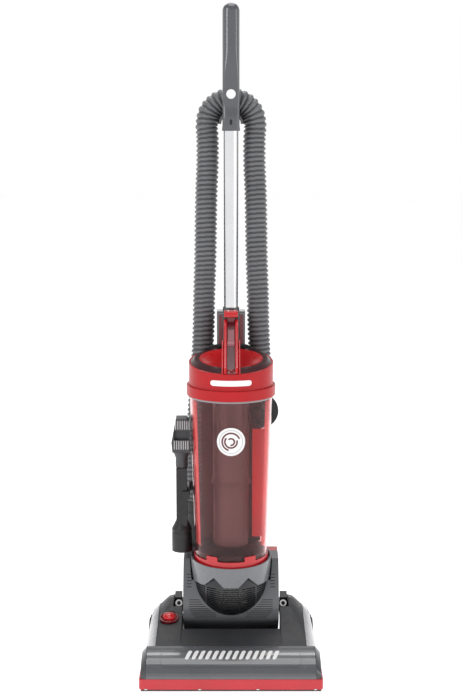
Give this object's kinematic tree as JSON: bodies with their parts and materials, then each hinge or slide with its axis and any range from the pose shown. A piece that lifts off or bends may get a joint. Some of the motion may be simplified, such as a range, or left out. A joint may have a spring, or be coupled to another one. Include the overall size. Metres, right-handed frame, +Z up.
{
  "type": "upright vacuum cleaner",
  "caption": "Bagless upright vacuum cleaner: powered nozzle head, reclining body, clear bin, parked stretch hose, long handle and clipped hand tools.",
  "frame": {"origin": "on the floor, at the middle of the footprint's width and depth (hose left out)", "axes": "+X to the viewer's right, -Y to the front where the nozzle is, +Z up"},
  "size_m": [0.288, 0.3, 1.068],
  "materials": {
    "deck_grey": "satin dark grey moulding",
    "visor_grey": "satin mid grey moulding",
    "yoke_grey": "satin grey moulding",
    "cup_grey": "satin light grey moulding",
    "handle_grey": "glossy dark grey moulding",
    "black_plastic": "fine grained black moulding",
    "dark_plastic": "fine grained dark moulding",
    "tool_black": "satin black moulding",
    "tool_grey": "satin grey moulding",
    "gloss_red": "glossy red moulding",
    "knob_red": "glossy red moulding",
    "bumper_red": "satin red soft moulding",
    "smoky_bin": "clear smoky maroon plastic",
    "smoky_rim": "glossy smoky maroon moulding",
    "hose_grey": "ribbed grey stretch hose",
    "bright_tube": "bright plated steel",
    "steel": "bright steel",
    "motor_metal": "pressed steel",
    "copper_core": "wound core",
    "fan_plastic": "natural nylon",
    "belt_rubber": "flat rubber belt",
    "tyre_rubber": "soft black tyre",
    "filter_foam": "white pleated filter",
    "bristle": "nylon tufts"
  },
  "bodies": {
    "root": {"base_chassis": "black_plastic", "base_cover": "deck_grey", "nozzle_visor": "visor_grey", "nozzle_end_caps": "deck_grey", "front_bumper": "bumper_red", "sole_plate": "black_plastic", "pivot_clamps": "black_plastic", "pivot_screws": "steel", "wheel_axles": "steel", "drive_belt": "belt_rubber", "suction_duct": "dark_plastic", "base_screws": "steel", "knob_bezel": "knob_red", "brush_bearings": "steel"},
    "knob": {"height_knob": "knob_red"},
    "carriage": {"roller_carriage": "dark_plastic"},
    "rollers": {"front_rollers": "dark_plastic"},
    "wheel_l": {"left_wheel": "dark_plastic", "left_tyre": "tyre_rubber"},
    "wheel_r": {"right_wheel": "dark_plastic", "right_tyre": "tyre_rubber"},
    "brush": {"brush_roll": "gloss_red", "brush_bristles": "bristle"},
    "recliner": {"recline_pedal": "handle_grey"},
    "upright": {"yoke_shell": "yoke_grey", "yoke_rear_cover": "yoke_grey", "motor_cup": "cup_grey", "exhaust_grille": "deck_grey", "exhaust_filter": "filter_foam", "motor_can": "motor_metal", "spine_front": "black_plastic", "spine_back": "deck_grey", "socket_block": "handle_grey", "hose_port": "black_plastic", "hose": "hose_grey", "hose_elbow": "black_plastic", "tube": "bright_tube", "handle_grip": "handle_grey", "lower_cord_hook": "dark_plastic", "power_switch": "dark_plastic", "cord_gland": "black_plastic", "tool_clip": "black_plastic", "pedal_spring": "steel"},
    "rotor": {"motor_armature": "copper_core", "motor_fan": "fan_plastic", "motor_pulley": "steel"},
    "power": {"power_pedal": "knob_red"},
    "cord_hook": {"upper_cord_hook": "dark_plastic"},
    "bin": {"bin_shell": "smoky_bin", "bin_door": "gloss_red", "inlet_panel": "gloss_red"},
    "lid": {"lid_ring": "gloss_red", "lid_rim": "smoky_rim", "lid_dish": "gloss_red", "carry_handle": "gloss_red", "cyclone_shroud": "smoky_rim", "pre_motor_filter": "filter_foam"},
    "latch": {"bin_latch": "gloss_red"},
    "crevice": {"crevice_tool": "tool_black"},
    "duster": {"dusting_tool": "tool_grey"}
  },
  "joints": [
    {"name": "recline", "type": "hinge", "parent": "root", "child": "upright", "pos_m": [0, 0.066, 0.064], "axis": [-1, 0, 0], "range_deg": [0, 65]},
    {"name": "left_wheel_spin", "type": "hinge", "parent": "root", "child": "wheel_l", "pos_m": [-0.129, 0.056, 0.022], "axis": [1, 0, 0], "continuous": true},
    {"name": "right_wheel_spin", "type": "hinge", "parent": "root", "child": "wheel_r", "pos_m": [0.129, 0.056, 0.022], "axis": [1, 0, 0], "continuous": true},
    {"name": "motor_spin", "type": "hinge", "parent": "upright", "child": "rotor", "pos_m": [0, 0.066, 0.064], "axis": [1, 0, 0], "continuous": true},
    {"name": "brush_spin", "type": "hinge", "parent": "root", "child": "brush", "pos_m": [0, -0.122, 0.022], "axis": [1, 0, 0], "continuous": true},
    {"name": "height_turn", "type": "hinge", "parent": "root", "child": "knob", "pos_m": [-0.102, -0.01, 0.067], "axis": [0, -0.2079, 0.9781], "range_deg": [0, 240]},
    {"name": "roller_drop", "type": "slide", "parent": "root", "child": "carriage", "axis": [0, 0, -1], "range_m": [0, 0.006]},
    {"name": "front_roller_spin", "type": "hinge", "parent": "carriage", "child": "rollers", "pos_m": [0, -0.076, 0.009], "axis": [1, 0, 0], "continuous": true},
    {"name": "recline_release", "type": "hinge", "parent": "root", "child": "recliner", "pos_m": [0, 0.092, 0.028], "axis": [-1, 0, 0], "range_deg": [0, 12], "stiffness_Nm_per_rad": 0.2, "springref_deg": -17.19},
    {"name": "power_press", "type": "slide", "parent": "upright", "child": "power", "axis": [0, 0, -1], "range_m": [0, 0.0035], "stiffness_N_per_m": 400, "springref_m": -0.003, "deforming": ["pedal_spring"]},
    {"name": "hook_turn", "type": "hinge", "parent": "upright", "child": "cord_hook", "pos_m": [0, 0.115, 0.44], "axis": [0, 1, 0], "range_deg": [0, 180]},
    {"name": "bin_removal", "type": "slide", "parent": "upright", "child": "bin", "axis": [0, -0.7071, 0.7071], "range_m": [0, 0.12]},
    {"name": "lid_lift", "type": "slide", "parent": "bin", "child": "lid", "axis": [0, 0, 1], "range_m": [0, 0.18]},
    {"name": "latch_press", "type": "slide", "parent": "lid", "child": "latch", "axis": [0, 0, -1], "range_m": [0, 0.0035], "stiffness_N_per_m": 400, "springref_m": -0.003},
    {"name": "crevice_pull", "type": "slide", "parent": "upright", "child": "crevice", "axis": [-1, 0, 0], "range_m": [0, 0.07]},
    {"name": "duster_pull", "type": "slide", "parent": "crevice", "child": "duster", "axis": [0, 0, 1], "range_m": [0, 0.04]}
  ],
  "couplings": [
    {"joint": "brush_spin", "follows": "motor_spin", "ratio": 0.4324},
    {"joint": "height_turn", "follows": "roller_drop", "rad_per_m": 698.13}
  ]
}
